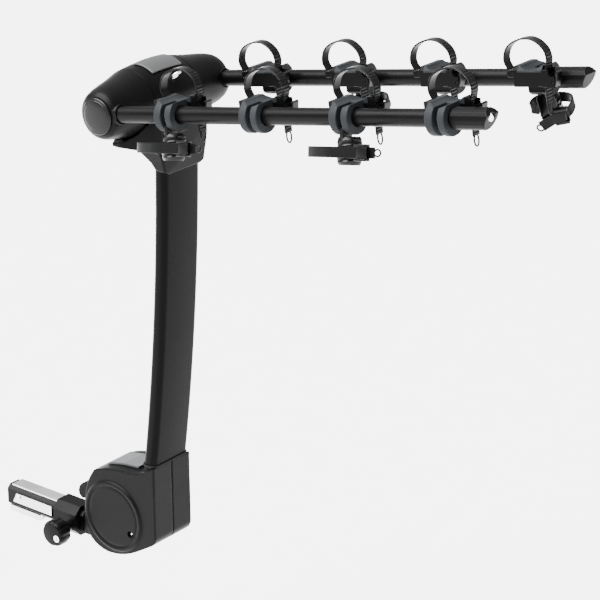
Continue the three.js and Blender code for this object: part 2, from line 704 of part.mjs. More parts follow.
// Turns a piece of the cage's buckle, drawn along X with its outside at -Y, into its place.
function atBuckle(geometry, { x, y, flip, turn }) {
  return geometry.rotateX(flip).rotateZ(turn).translate(x, y, CAGE_STRAP_Z);
}

function swayCage({ route, link, buckle, pull }) {
  const [low, high] = [SLOT.x - SLOT.half + 0.5, SLOT.x + SLOT.half - 0.5];
  const ring = cut(rod('x', CAGE_RING, low, high), rod('x', ARM_BORE, low - 1, high + 1));
  const front = CAGE_AXIS.y - CAGE_RADIUS;
  const neckPlate = block([low, front + 0.5, CAGE_TOP - 3], [high, 5, -CAGE_RING + 2]);
  const shell = rod('z', CAGE_RADIUS, CAGE_BOTTOM, CAGE_TOP).translate(CAGE_AXIS.x, CAGE_AXIS.y, 0);
  const bore = rod('z', CAGE_RADIUS - CAGE_WALL, CAGE_BOTTOM - 1, CAGE_TOP + 1);
  bore.translate(CAGE_AXIS.x, CAGE_AXIS.y, 0);
  const mouth = block([-40, CAGE_AXIS.y + 5, CAGE_BOTTOM - 1], [40, 60, CAGE_TOP + 1]);
  const strapBand = band(curve(route), ALONG_Z, CAGE_STRAP_WIDTH, STRAP_THICKNESS, 18);
  const bands = [strapBand, band(curve(link), ALONG_Z, CAGE_STRAP_WIDTH + 1, 3.2, 3)];
  bands.forEach((part) => part.translate(0, 0, CAGE_STRAP_Z));
  const loopEnd = pullRing(4.5, 1.2).rotateX(Math.PI / 2);
  loopEnd.translate(pull.x, pull.y, CAGE_STRAP_Z + pull.z);
  const h = CAGE_STRAP_WIDTH / 2;
  const base = block([-11, 0.8, -h - 1], [9, 4, h + 1]);
  const flanges = [-h - 4, h + 0.5].map((z) => block([-11, -7.4, z], [9, 4, z + 3.5]));
  const pinHole = rod('z', LEVER_PIN_RADIUS + GAP, -40, 40, 8).translate(BUCKLE_PIN.x, BUCKLE_PIN.y, 0);
  const frame = atBuckle(cut(join(base, ...flanges), pinHole), buckle);
  return join(ring, neckPlate, cut(shell, bore, mouth), ...bands, loopEnd, frame);
}

function cageLever({ buckle }) {
  const shape = outline([[-8, -3.2], [3, -3.2], [11, -5.4], [12, -7.9], [1, -7.4], [-7, -6.4]]);
  const h = CAGE_STRAP_WIDTH / 2;
  const plate = plank(shape, 2 * h).translate(0, 0, -h);
  const pin = rod('z', LEVER_PIN_RADIUS, -h - 2.5, h + 2.5, 8).translate(BUCKLE_PIN.x, BUCKLE_PIN.y, 0);
  return atBuckle(join(plate, pin), buckle);
}

for (const { name, mirror, group, arm } of sides) {
  add(group, `hub_cone_${name}`, hubCone(), ...blackPlastic);
  add(group, `end_cap_${name}`, endCap(), ...blackPlastic);
  add(arm, `arm_tube_${name}`, armTube(), ...blackCoat);
  add(arm, `arm_tip_${name}`, armTip(name === 'left'), ...blackPlastic);
  for (let number = 1; number <= CRADLES; number += 1) {
    const station = new THREE.Group();
    station.position.x = FIRST_CRADLE + (number - 1) * CRADLE_PITCH;
    arm.add(station);
    add(station, `cradle_${name}_${number}`, cradle(), ...greyRubber);
    add(station, `strap_${name}_${number}`, strap(), ...blackPlastic);
    add(station, `buckle_lever_${name}_${number}`, buckleLever(), ...blackPlastic);
    if (!CAGE_STATIONS[name].includes(number)) continue;
    const hanger = new THREE.Group();
    hanger.rotation.x = -CAGE_HANG;
    station.add(hanger);
    // The cages on the right arm are turned half round, so they are mirrored in X as well.
    const cage = new THREE.Group();
    cage.position.x = SLOT.x * (1 - mirror);
    cage.scale.x = mirror;
    hanger.add(cage);
    add(cage, `sway_cage_${name}_${number}`, swayCage(CAGE_STRAPS[name]), ...blackPlastic);
    add(cage, `cage_lever_${name}_${number}`, cageLever(CAGE_STRAPS[name]), ...blackPlastic);
  }
}

const { arm: leftArm } = sides[0];
add(leftArm, 'arm_lock', armLock(), ...silver);

export default rack;
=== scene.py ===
"""Hitch mounted bike rack: fine surfaces, materials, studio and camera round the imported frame."""
import math

import bmesh
import bpy
from mathutils import Matrix, Vector


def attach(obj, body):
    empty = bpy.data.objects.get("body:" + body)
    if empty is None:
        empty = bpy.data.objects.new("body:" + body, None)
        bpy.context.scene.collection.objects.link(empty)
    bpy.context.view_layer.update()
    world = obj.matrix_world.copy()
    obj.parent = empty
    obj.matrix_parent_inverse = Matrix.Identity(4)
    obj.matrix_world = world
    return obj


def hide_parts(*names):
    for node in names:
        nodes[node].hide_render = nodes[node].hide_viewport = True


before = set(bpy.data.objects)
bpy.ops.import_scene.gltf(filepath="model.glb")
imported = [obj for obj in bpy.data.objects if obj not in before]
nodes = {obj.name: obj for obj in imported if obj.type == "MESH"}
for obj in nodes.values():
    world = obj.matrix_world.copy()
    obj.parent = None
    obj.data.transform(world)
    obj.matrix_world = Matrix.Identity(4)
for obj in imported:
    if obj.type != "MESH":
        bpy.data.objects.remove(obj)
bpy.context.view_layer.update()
MM = 0.001
SIDES = (("left", 1), ("right", -1))

# Driving sizes, in millimetres, as in the CAD model
HUB = (333, 765)
HOUSING_HALF = 50
HOUSING_RADIUS = 55
HOUSING_CROWN = 3.5
HUB_SKEW = 0.12
HUB_END = 132
HUB_PROFILE = ((51.5, 50.6), (50.5, 55), (46, 77), (41.5, 104), (38.5, 118), (34.5, 128), (30, HUB_END))
CAP_RADIUS = 28
LOOP_ANGLE = math.radians(40)
LOOP_REACH = 66
ARM_TILT = math.radians(10.57)
ARM_Y = 118
ARM_RADIUS = 12.5
ARM_ENDS = (8, 690)
FIRST_CRADLE = 150
CRADLE_PITCH = 160
STRAP_Y = 29
CAGE_HANG = math.radians(15)
CAGE_STATIONS = {"left": (1, 3), "right": (2, 4)}
SLOT_X = -3
PIVOT = (270, 64)
MAST = {"width": 82, "depth": 24, "corner": 9, "radius": 4212, "apex": (379.5, 725), "span": (96, 700)}
KNOB = {"x": 153, "z": -0.8, "radius": 22.3, "face": -71, "inner": -46, "lock": (11.2, -4.6)}


# ---- camera, floor and lights ----

def camera():
    data = bpy.data.cameras.new("camera")
    data.lens = 149.14
    data.sensor_width = 36
    eye = bpy.data.objects.new("camera", data)
    eye.location = (2.72507, -2.67057, 1.86310)
    eye.rotation_euler = (math.radians(68.24), 0, math.radians(38.31))
    bpy.context.collection.objects.link(eye)
    bpy.context.scene.camera = eye


def area_light(name, location, target, size, power, colour=(1, 1, 1)):
    data = bpy.data.lights.new(name, "AREA")
    data.shape = "RECTANGLE"
    data.size, data.size_y = size
    data.energy = power
    data.color = colour
    lamp = bpy.data.objects.new(name, data)
    lamp.location = location
    lamp.rotation_euler = (Vector(target) - Vector(location)).to_track_quat("-Z", "Y").to_euler()
    bpy.context.collection.objects.link(lamp)


# ---- materials ----

class Graph:
    """A short way to write a node material."""

    def __init__(self, name):
        self.material = bpy.data.materials.new(name)
        self.material.use_nodes = True
        self.tree = self.material.node_tree
        self.shader = self.tree.nodes["Principled BSDF"]
        self.coordinates = self.add("ShaderNodeTexCoord").outputs["Object"]

    def add(self, kind, inputs=None, **settings):
        node = self.tree.nodes.new(kind)
        for key, value in settings.items():
            setattr(node, key, value)
        for key, value in (inputs or {}).items():
            self.set(node, key, value)
        return node

    def set(self, node, key, value):
        if isinstance(value, bpy.types.NodeSocket):
            self.tree.links.new(value, node.inputs[key])
        else:
            node.inputs[key].default_value = value

    def noise(self, scale, detail=2.0, stretch=(1, 1, 1)):
        """Noise over the object; scale is in features per metre."""
        place = self.add("ShaderNodeMapping", {"Vector": self.coordinates, "Scale": stretch})
        return self.add("ShaderNodeTexNoise", {"Vector": place.outputs[0], "Scale": scale,
            "Detail": detail}).outputs[0]

    def spread(self, value, low, high, start=0.3, end=0.7):
        node = self.add("ShaderNodeMapRange", {
            "Value": value, "From Min": start, "From Max": end, "To Min": low, "To Max": high})
        return node.outputs[0]

    def blend(self, factor, first, second):
        node = self.add("ShaderNodeMix", data_type="RGBA")
        for socket, value in ((node.inputs[0], factor), (node.inputs[6], first), (node.inputs[7], second)):
            if isinstance(value, bpy.types.NodeSocket):
                self.tree.links.new(value, socket)
            else:
                socket.default_value = value
        return node.outputs[2]

    def bump(self, height, distance, strength=1.0):
        node = self.add("ShaderNodeBump", {"Height": height, "Distance": distance, "Strength": strength})
        self.set(self.shader, "Normal", node.outputs[0])


def grey(value, tint=(1, 1, 1)):
    return (*(value * part for part in tint), 1)


def finish_material(name, base, roughness, metallic=0.0, tint=(1, 1, 1), vary=0.25, grain=900,
        depth=0.00015,
                    dust=0.0, gloss=0.3, stretch=(1, 1, 1)):
    """Base colour with slow variation, dust on upward faces, fine grain in roughness and relief."""
    graph = Graph(name)
    slow = graph.noise(14, 3)
    fine = graph.noise(grain, 2, stretch)
    shade = graph.blend(graph.spread(slow, 0, 1), grey(base * (1 - vary), tint),
        grey(base * (1 + vary), tint))
    if dust:
        normal = graph.add("ShaderNodeNewGeometry").outputs["Normal"]
        facing = graph.add("ShaderNodeSeparateXYZ", {"Vector": normal}).outputs[2]
        settled = graph.spread(facing, 0, dust, 0.2, 1.0)
        cover = graph.add("ShaderNodeMath", {0: settled, 1: graph.noise(160, 4)}, operation="MULTIPLY")
        shade = graph.blend(cover.outputs[0], shade, grey(0.3, (1, 0.99, 0.97)))
    graph.set(graph.shader, "Base Color", shade)
    broad = graph.spread(slow, roughness - 0.06, roughness + 0.06)
    rough = graph.add("ShaderNodeMath", {0: broad, 1: graph.spread(fine, -0.05, 0.05)}, operation="ADD")
    graph.set(graph.shader, "Roughness", rough.outputs[0])
    graph.set(graph.shader, "Metallic", metallic)
    graph.set(graph.shader, "Specular IOR Level", gloss)
    graph.bump(fine, depth, 0.6)
    return graph.material


COAT = finish_material("satin_powder_coat", 0.0008, 0.34, vary=0.1, grain=1400, depth=0.00006, gloss=0.06)
MAST_COAT = finish_material("mast_powder_coat", 0.0008, 0.34, vary=0.1, grain=1100, depth=0.00008,
    gloss=0.03)
PLASTIC = finish_material("grained_black_plastic", 0.001, 0.4, vary=0.15, grain=1300, depth=0.00014,
    dust=0.002, gloss=0.05)
GLOSSY = finish_material("smooth_black_plastic", 0.0008, 0.32, vary=0.1, grain=500, depth=0.00001,
    gloss=0.14)
RUBBER = finish_material("blue_grey_rubber", 0.009, 0.6, tint=(0.84, 0.97, 1.12), vary=0.14,
    grain=1500, depth=0.0001, dust=0.01, gloss=0.1)
INSERT = finish_material("grey_insert", 0.045, 0.4, tint=(0.93, 1, 1.05), vary=0.06, grain=1500,
    depth=0.00008, gloss=0.4)
PANEL = finish_material("grey_panel", 0.03, 0.42, tint=(0.97, 1, 1.02), vary=0.1, grain=1200,
    depth=0.00006, gloss=0.3)
STRAP = finish_material("strap_plastic", 0.002, 0.34, tint=(0.96, 1, 1.03), vary=0.12, grain=800,
    depth=0.00004, dust=0.005, gloss=0.07)
STEEL = finish_material("plated_steel", 0.62, 0.26, 1.0, vary=0.1, grain=700, depth=0.00004,
    stretch=(0.1, 1, 1))
CHROME = finish_material("bright_steel", 0.8, 0.15, 1.0, vary=0.06, grain=600, depth=0.00002)
# Matte near-black for the gasket and the cable boot; also the painted shade of the keyhole on the lock
# face.
DARK = finish_material("matte_black_and_painted_keyhole_shade", 0.002, 0.7, vary=0.2, grain=900, depth=0.0001, gloss=0.1)


# ---- mesh tools ----

def ring_faces(bm, rings, closed_ring=True, closed_path=False, caps=True):
    """Joins rings of points into a skin."""
    made = [[bm.verts.new(point) for point in ring] for ring in rings]
    count = len(made[0])
    pairs = list(zip(made, made[1:]))
    if closed_path:
        pairs.append((made[-1], made[0]))
    for a, b in pairs:
        for i in range(count if closed_ring else count - 1):
            j = (i + 1) % count
            bm.faces.new((a[i], a[j], b[j], b[i]))
    if caps and not closed_path:
        bm.faces.new(list(reversed(made[0])))
        bm.faces.new(made[-1])
    return bm


def lathe(profile, steps=72, ring=False, wave=None):
    """Turns (radius, y) points about the Y axis. wave(angle, radius, y) may change a radius."""
    bm = bmesh.new()
    rings = []
    for k in range(steps):
        angle = 2 * math.pi * k / steps
        points = []
        for r, y in profile:
            radius = wave(angle, r, y) if wave else r
            points.append((radius * math.cos(angle), y, radius * math.sin(angle)))
        rings.append(points)
    ring_faces(bm, rings, closed_ring=ring, closed_path=True)
    bmesh.ops.remove_doubles(bm, verts=bm.verts, dist=0.001)
    bmesh.ops.recalc_face_normals(bm, faces=bm.faces)
    return bm


def prism(points, low, high, axis="y", bevel=0.0, segments=3):
    """Extrudes an outline. axis y takes (x, z) points, x takes (y, z) and z takes (x, y)."""
    place = {"y": lambda a, b, c: (a, c, b), "x": lambda a, b, c: (c, a, b), "z": lambda a, b, c: (a,
        b, c)}[axis]
    bm = bmesh.new()
    ring_faces(bm, [[place(a, b, c) for a, b in points] for c in (low, high)])
    bmesh.ops.recalc_face_normals(bm, faces=bm.faces)
    if bevel:
        round_edges(bm, bevel, segments)
    return bm


def box(low, high, bevel=0.0, segments=3):
    return prism([(low[0], low[1]), (high[0], low[1]), (high[0], high[1]), (low[0], high[1])],
                 low[2], high[2], "z", bevel, segments)


def round_edges(bm, width, segments=3, angle=0.5):
    edges = [e for e in bm.edges if len(e.link_faces) == 2 and e.calc_face_angle(0) > angle]
    bmesh.ops.bevel(bm, geom=edges, offset=width, segments=segments, profile=0.5, affect="EDGES",
        clamp_overlap=True)


def arc(centre, radius, start, end, steps):
    return [(centre[0] + radius * math.cos(start + (end - start) * k / steps),
             centre[1] + radius * math.sin(start + (end - start) * k / steps)) for k in range(steps + 1)]


def quadratic(a, b, c, steps=8):
    return [tuple((1 - t) ** 2 * p + 2 * t * (1 - t) * q + t * t * r for p, q, r in zip(a, b, c))
            for t in (k / steps for k in range(1, steps + 1))]


def joined(*parts):
    """One bmesh of several."""
    total = bmesh.new()
    for part in parts:
        mesh = bpy.data.meshes.new("part")
        part.to_mesh(mesh)
        total.from_mesh(mesh)
        bpy.data.meshes.remove(mesh)
    return total


def moved(bm, matrix):
    bmesh.ops.transform(bm, matrix=matrix, verts=bm.verts)
    if matrix.determinant() < 0:
        bmesh.ops.reverse_faces(bm, faces=bm.faces)
    return bm


def shift(bm, x=0.0, y=0.0, z=0.0):
    return moved(bm, Matrix.Translation((x, y, z)))


def smooth_curve(points, spacing):
    """Points about spacing apart on a centripetal Catmull-Rom curve through the given ones."""
    pts = [Vector(p) for p in points]
    pts = [2 * pts[0] - pts[1], *pts, 2 * pts[-1] - pts[-2]]
    out = []
    for p0, p1, p2, p3 in zip(pts, pts[1:], pts[2:], pts[3:]):
        t0, t1 = 0.0, max((p1 - p0).length ** 0.5, 1e-6)
        t2 = t1 + max((p2 - p1).length ** 0.5, 1e-6)
        t3 = t2 + max((p3 - p2).length ** 0.5, 1e-6)
        steps = max(2, round((p2 - p1).length / spacing))
        for k in range(steps):
            t = t1 + (t2 - t1) * k / steps
            a1 = (t1 - t) / (t1 - t0) * p0 + (t - t0) / (t1 - t0) * p1
            a2 = (t2 - t) / (t2 - t1) * p1 + (t - t1) / (t2 - t1) * p2
            a3 = (t3 - t) / (t3 - t2) * p2 + (t - t2) / (t3 - t2) * p3
            b1 = (t2 - t) / (t2 - t0) * a1 + (t - t0) / (t2 - t0) * a2
            b2 = (t3 - t) / (t3 - t1) * a2 + (t - t1) / (t3 - t1) * a3
            out.append((t2 - t) / (t2 - t1) * b1 + (t - t1) / (t2 - t1) * b2)
    out.append(pts[-2])
    return out


def strap_band(points, across, width, thickness, toothed=lambda t: False, outside=1, pitch=2.6,
        spacing=0.65):
    """A flat strap with rounded edges, and small ridges on one face where toothed(t) is true."""
    path = smooth_curve(points, spacing)
    across = Vector(across)
    total = sum((b - a).length for a, b in zip(path, path[1:]))
    run = 0.0
    rings = []
    half = width / 2
    for k, point in enumerate(path):
        tangent = (path[min(k + 1, len(path) - 1)] - path[max(k - 1, 0)]).normalized()
        side = (across - across.dot(tangent) * tangent).normalized()
        face = side.cross(tangent) * outside
        if k:
            run += (point - path[k - 1]).length
        cut = 0.8 * abs(2 * ((run / pitch) % 1) - 1) if toothed(run / total) else 0.0
        top, low = thickness / 2, -thickness / 2
        section = ((-half, low + 0.5), (-half + 0.5, low), (half - 0.5, low), (half, low + 0.5),
            (half, top - 0.5),
                   (half - 0.5, top), (half - 0.8, top - 0.2 * (cut > 0)), (half - 1.0, top - cut),
                   (-half + 1.0, top - cut), (-half + 0.8, top - 0.2 * (cut > 0)), (-half + 0.5, top),
                       (-half, top - 0.5))
        rings.append([point + side * a + face * b for a, b in section])
    bm = ring_faces(bmesh.new(), rings)
    bmesh.ops.recalc_face_normals(bm, faces=bm.faces)
    return bm


def ring_loop(radius, stretch, wire, steps=40, around=12):
    """A torus in X and Y, stretched along X."""
    rings = []
    for k in range(steps):
        angle = 2 * math.pi * k / steps
        out = Vector((math.cos(angle), math.sin(angle), 0))
        rings.append([Vector((out.x * radius * stretch, out.y * radius, 0))
                      + out * wire * math.cos(b) + Vector((0, 0, wire * math.sin(b)))
                      for b in (2 * math.pi * j / around for j in range(around))])
    bm = ring_faces(bmesh.new(), rings, closed_path=True)
    bmesh.ops.recalc_face_normals(bm, faces=bm.faces)
    return bm


def carve(bm, *tools):
    """The solid without the tools."""
    target = scratch_object(bm)
    cutters = [scratch_object(tool) for tool in tools]
    for cutter in cutters:
        modifier = target.modifiers.new("cut", "BOOLEAN")
        modifier.operation = "DIFFERENCE"
        modifier.solver = "EXACT"
        modifier.object = cutter
    result = baked(target)
    for cutter in cutters:
        bpy.data.objects.remove(cutter)
    return result


def scratch_object(bm):
    mesh = bpy.data.meshes.new("scratch")
    bm.to_mesh(mesh)
    obj = bpy.data.objects.new("scratch", mesh)
    bpy.context.collection.objects.link(obj)
    return obj


def baked(obj):
    """The object's mesh with its modifiers applied, as a bmesh; the object goes."""
    bpy.context.view_layer.update()
    shape = obj.evaluated_get(bpy.context.evaluated_depsgraph_get())
    bm = bmesh.new()
    bm.from_mesh(shape.to_mesh())
    shape.to_mesh_clear()
    bpy.data.objects.remove(obj)
    return bm


def softened(bm, voxel, rounds=6):
    """The same solid with rounded edges, as a moulding has. Sizes are in the mesh's own unit."""
    obj = scratch_object(bm)
    remesh = obj.modifiers.new("remesh", "REMESH")
    remesh.mode = "VOXEL"
    remesh.voxel_size = voxel
    ease = obj.modifiers.new("ease", "SMOOTH")
    ease.factor = 0.5
    ease.iterations = rounds
    return baked(obj)


def node_mesh(node):
    """A CAD node's shape in millimetres."""
    bm = bmesh.new()
    bm.from_mesh(nodes[node].data)
    bmesh.ops.remove_doubles(bm, verts=bm.verts, dist=1e-6)
    return moved(bm, Matrix.Scale(1 / MM, 4))


def piece(name, bm, body, material, stands_for=(), matrix=None, sharp=35, extra=()):
    """A finished visual piece from a bmesh in millimetres."""
    if matrix is not None:
        moved(bm, matrix)
    moved(bm, Matrix.Scale(MM, 4))
    mesh = bpy.data.meshes.new(name)
    bm.to_mesh(mesh)
    bm.free()
    mesh.shade_smooth()
    mesh.set_sharp_from_angle(angle=math.radians(sharp))
    for each in (material, *extra):
        mesh.materials.append(each)
    obj = bpy.data.objects.new(name, mesh)
    bpy.context.collection.objects.link(obj)
    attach(obj, body)
    if stands_for:
        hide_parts(*stands_for)
    return obj


def dress(node, material, bevel=0.6):
    """Gives a CAD node its finish and eases its edges."""
    obj = nodes[node]
    obj.data.materials.clear()
    obj.data.materials.append(material)
    modifier = obj.modifiers.new("ease", "BEVEL")
    modifier.width = bevel * MM
    modifier.segments = 2
    modifier.limit_method = "ANGLE"
    modifier.angle_limit = math.radians(25)


def sleeve(stations, centre_y=0.0, limit=None, steps=64):
    """Turns (x, radius) points about a line along X; limit flattens the side towards -Y."""
    rings = []
    for x, r in stations:
        ring = []
        for k in range(steps):
            angle = 2 * math.pi * k / steps
            reach = r
            if limit and math.cos(angle) < -1e-6:
                reach = min(r, limit / -math.cos(angle))
            ring.append((x, centre_y + reach * math.cos(angle), reach * math.sin(angle)))
        rings.append(ring)
    bm = ring_faces(bmesh.new(), rings, closed_path=True)
    bmesh.ops.remove_doubles(bm, verts=bm.verts, dist=0.001)
    bmesh.ops.recalc_face_normals(bm, faces=bm.faces)
    return bm


def rod(centre, radius, length, axis="y", bevel=0.4, steps=40):
    """A round bar with eased ends, centred on a point."""
    half = length / 2
    profile = [(0, -half), (radius - bevel, -half), (radius, -half + bevel),
               (radius, half - bevel), (radius - bevel, half), (0, half)]
    bm = lathe(profile, steps)
    turn = {"y": Matrix.Identity(4), "z": Matrix.Rotation(math.pi / 2, 4, "X"),
        "x": Matrix.Rotation(math.pi / 2, 4, "Z")}
    return shift(moved(bm, turn[axis]), *centre)


# ---- places ----

HEAD = Matrix.Translation((HUB[0], 0, HUB[1]))


def arms_place(mirror):
    return HEAD @ Matrix.Rotation(-ARM_TILT, 4, "Y") @ Matrix.Diagonal((1, mirror, 1, 1))


def station_place(mirror, number):
    return arms_place(mirror) @ Matrix.Translation((FIRST_CRADLE + (number - 1) * CRADLE_PITCH, -ARM_Y, 0))


def cage_place(mirror, number):
    hang = station_place(mirror, number) @ Matrix.Rotation(-CAGE_HANG, 4, "X")
    return hang @ Matrix.Translation((SLOT_X * (1 - mirror), 0, 0)) @ Matrix.Diagonal((mirror, 1, 1, 1))


# ---- hub ----

def skewed(bm):
    for vert in bm.verts:
        vert.co.x += HUB_SKEW * max(0, -vert.co.y - HOUSING_HALF)
    return bm


def housing_radius(y):
    return HOUSING_RADIUS - HOUSING_CROWN * (y / HOUSING_HALF) ** 2


def hub():
    line = [(housing_radius(y), y) for y in (-48.6 + 97.2 * k / 30 for k in range(31))]
    shell = [(50.4, -50), (51.2, -49.6), *line, (51.2, 49.6), (50.4, 50), (46.5, 50), (46.5, -50)]
    piece("housing_shell", lathe(shell, 128, ring=True), "mast", PLASTIC,
        ["head_housing"], HEAD)
    piece("neck_casting", softened(node_mesh("head_neck"), 1.3, 8), "mast", PLASTIC,
        ["head_neck"])
    rows = []
    for radius in (0.35, 3.0):
        for k in range(31):
            angle = 1.02 + 0.71 * k / 30
            rows.append([((housing_radius(y) + radius) * math.cos(angle), y,
                (housing_radius(y) + radius) * math.sin(angle))
                         for y in (-31 + 66 * j / 12 for j in range(13))])
    panel = bmesh.new()
    ring_faces(panel, [low + list(reversed(high)) for low, high in zip(rows[:31], rows[31:])])
    bmesh.ops.recalc_face_normals(panel, faces=panel.faces)
    round_edges(panel, 1.0, 3, 0.8)
    piece("release_lever", panel, "release", PANEL, ["release_panel"], HEAD)
    loop = Matrix.Translation((LOOP_REACH * math.cos(LOOP_ANGLE), -4, LOOP_REACH * math.sin(LOOP_ANGLE)))
    loop = HEAD @ loop @ Matrix.Rotation(-LOOP_ANGLE, 4, "Y")
    stub = rod((-18.5, 0, 0), 2.1, 23, "x", 0.2, 20)
    ferrule = rod((-9.5, 0, 0), 2.2, 4, "x", 0.5, 20)
    piece("cable_end", joined(ring_loop(6.5, 1.25, 2.1), stub, ferrule), "cable",
        CHROME, ["cable_loop"], loop)
    cable_boot = lathe([(2.4, 0), (6.2, 0), (5.8, 3.2), (4.2, 4.2), (2.4, 4.2)], 32, ring=True)
    boot_place = HEAD @ Matrix.Translation((0, -4, 0)) @ Matrix.Rotation(-LOOP_ANGLE, 4, "Y")
    boot_place = boot_place @ Matrix.Translation((53.5, 0, 0)) @ Matrix.Rotation(-math.pi / 2, 4, "Z")
    piece("cable_boot", cable_boot, "mast", DARK, (), boot_place)


def hub_end(name, mirror):
    place = arms_place(mirror)
    outer = [(p.x, -p.y) for p in smooth_curve([(r, y, 0) for r, y in HUB_PROFILE], 2)]
    cone = skewed(lathe([(0, -50.6), (50.6, -50.6), *outer, (0, -HUB_END)], 96))
    collar = sleeve([(20, 15.4), (45, 15.4), (46.4, 15), (47, 14.2), (46.4, 13.1), (38, 13.1),
        (38, 14.6)], -ARM_Y, 13.6)
    piece(f"hub_cone_shell_{name}", joined(cone, collar), "arms", PLASTIC,
        [f"hub_cone_{name}"], place)
    seat = -HUB_END - 0.3
    dome = [(0, seat - 5.9), (14, seat - 5.5), (20, seat - 4.7), (23.6, seat - 3.9), (24.2,
        seat - 3.2), (25.4, seat - 3.3),
            (27, seat - 2.6), (CAP_RADIUS, seat - 1.4), (CAP_RADIUS, seat), (0, seat)]
    piece(f"end_cap_disc_{name}", skewed(lathe(dome, 96)), "arms", GLOSSY,
        [f"end_cap_{name}"], place)


# ---- base, mast and receiver ----

def cover_outline():
    drum = ((313, 6.5, 0), (291, -4, 0), (268, -10, 0), (246, -10.5, 0), (226, -3.5, 0), (213, 8, 0),
        (207, 23, 0),
            (204, 41, 0), (204, 62, 0), (207, 84, 0), (214, 107, 0), (226, 128, 0))
    top = ((226, 128, 0), (248, 137, 0), (274, 142.5, 0), (306, 146, 0), (321, 149, 0), (336, 156, 0),
        (349, 164, 0), (356, 168, 0))
    return [(357, 44), *quadratic((357, 44), (356, 33), (344, 26)),
        *((p.x, p.y) for p in smooth_curve(drum, 5)),
            *((p.x, p.y) for p in smooth_curve(top, 4)[1:])]


def base():
    outline = cover_outline()
    slot = prism([PIVOT, *arc(PIVOT, 90, 2.45, 4.85, 40)], -15.2, 15.2)
    for name, mirror in SIDES:
        shell = prism(outline, -44, -0.3)
        ledge = lathe([(0, -43), (0, -46.2), (49, -46.2), (51, -45.2), (53, -45.2), (54, -47),
            (58.4, -47), (60, -45.6), (60, -43)], 96)
        bolt_hole = rod((PIVOT[0] + 35, -46, PIVOT[1] - 27), 6, 8)
        raised = carve(shell, slot)
        solid = softened(joined(raised, shift(ledge, PIVOT[0] - 2, 0, PIVOT[1] - 6)), 1.2, 7)
        solid = carve(solid, bolt_hole)
        screw = rod((PIVOT[0] + 35, -42.2, PIVOT[1] - 27), 1.6, 2)
        flip = Matrix.Diagonal((1, mirror, 1, 1))
        piece(f"base_shell_{name}", solid, "mast", PLASTIC, [f"base_cover_{name}"], flip)
        piece(f"base_screw_{name}", screw, "mast", STEEL, (), flip)
    dress("base_insert", INSERT, 1.0)


def rounded_rectangle(width, height, corner, steps=7):
    w, h = width / 2 - corner, height / 2 - corner
    points = []
    for k, (a, b) in enumerate(((w, h), (-w, h), (-w, -h), (w, -h))):
        points += arc((a, b), corner, k * math.pi / 2, (k + 1) * math.pi / 2, steps)
    return points


def mast_x(z):
    rise = z - MAST["apex"][1]
    return MAST["apex"][0] - (MAST["radius"] - math.sqrt(MAST["radius"] ** 2 - rise ** 2))


def mast_lean(z):
    return math.asin((MAST["apex"][1] - z) / MAST["radius"])


def mast():
    low, high = MAST["span"]
    section = rounded_rectangle(MAST["depth"], MAST["width"], MAST["corner"])
    rings = []
    for k in range(61):
        z = low + (high - low) * k / 60
        lean = mast_lean(z)
        rings.append([(mast_x(z) + a * math.cos(lean), b, z - a * math.sin(lean)) for a, b in section])
    tube = ring_faces(bmesh.new(), rings)
    bmesh.ops.recalc_face_normals(tube, faces=tube.faces)
    yoke = [(352, 100), (349, 60), (PIVOT[0] + 10, PIVOT[1] - 22), *arc(PIVOT, 24, -1.15, -4.75, 32),
        (322, 118), (344, 118)]
    yokes = [prism(yoke, min(a, b), max(a, b), bevel=0.6) for a, b in ((14.6, 19.6), (-14.6, -19.6))]
    piece("mast_column", joined(tube, *yokes), "mast", MAST_COAT, ["mast_tube"])
    z = 166.5
    rings = []
    for grow, rise in ((0.2, 0), (2.2, 0), (2.4, 2.2), (1.6, 3.2), (0.2, 3.2)):
        ring = rounded_rectangle(MAST["depth"] + 2 * grow, MAST["width"] + 2 * grow, MAST["corner"] + grow)
        lean = mast_lean(z)
        rings.append([(mast_x(z) + a * math.cos(lean), b,
            z + rise - a * math.sin(lean) + 0.13 * a) for a, b in ring])
    gasket = ring_faces(bmesh.new(), rings, closed_path=True)
    bmesh.ops.recalc_face_normals(gasket, faces=gasket.faces)
    piece("mast_gasket", gasket, "mast", DARK)


def receiver():
    dress("receiver_tube", COAT, 1.0)
    dress("adapter_top", STEEL, 0.4)
    dress("adapter_bottom", STEEL, 0.6)
    dress("wedge", STEEL, 0.8)
    dress("clamp_collar", PLASTIC, 1.6)
    dress("pivot_bracket", COAT, 0.8)
    dress("pivot_pin", STEEL, 0.6)
    dress("hub_axle", STEEL, 0.4)
    dress("lock_cylinder", CHROME, 0.8)
    dress("arm_lock", CHROME, 0.8)
    head = rod((26, -16.2, 6), 4.4, 3.2, "y", 0.7, 6)
    piece("wedge_bolt", head, "sliding_wedge", CHROME)
    x, z, radius, face, inner = (KNOB[k] for k in ("x", "z", "radius", "face", "inner"))

    def ribbed(angle, r, y):
        if r < radius - 3.2:
            return r
        return r - 1.2 * (0.5 + 0.5 * math.cos(9 * angle)) ** 3

    profile = [(8, 0), (8, inner - 0.5), (18, inner), (21, inner - 1.2), (radius, inner - 4), (radius,
        face + 7),
               (radius - 0.8, face + 3.6), (radius - 2.2, face + 1.4), (radius - 3.4, face + 0.4),
                   (radius - 5, face)]
    grip = lathe([(0, 0), *profile, (0, face)], 220, wave=ribbed)
    piece("knob_grip", grip, "knob", PLASTIC, ["clamp_knob"],
        Matrix.Translation((x, 0, z)))
    across, down = x + KNOB["lock"][0], z + KNOB["lock"][1]
    # Painted shade: a thin near-black box just proud of the lock face stands for the dark of the keyhole
    # slot.
    painted_keyhole_shade = box((across - 0.7, face - 0.9, down - 3), (across + 0.7, face - 0.5, down + 3), 0.1, 1)
    piece("painted_keyhole_shade", painted_keyhole_shade, "key_lock", DARK)
    piece("lever_pedal", softened(node_mesh("tilt_lever"), 0.9, 6), "foot_lever",
        PLASTIC, ["tilt_lever"])


# ---- arms, cradles and straps ----

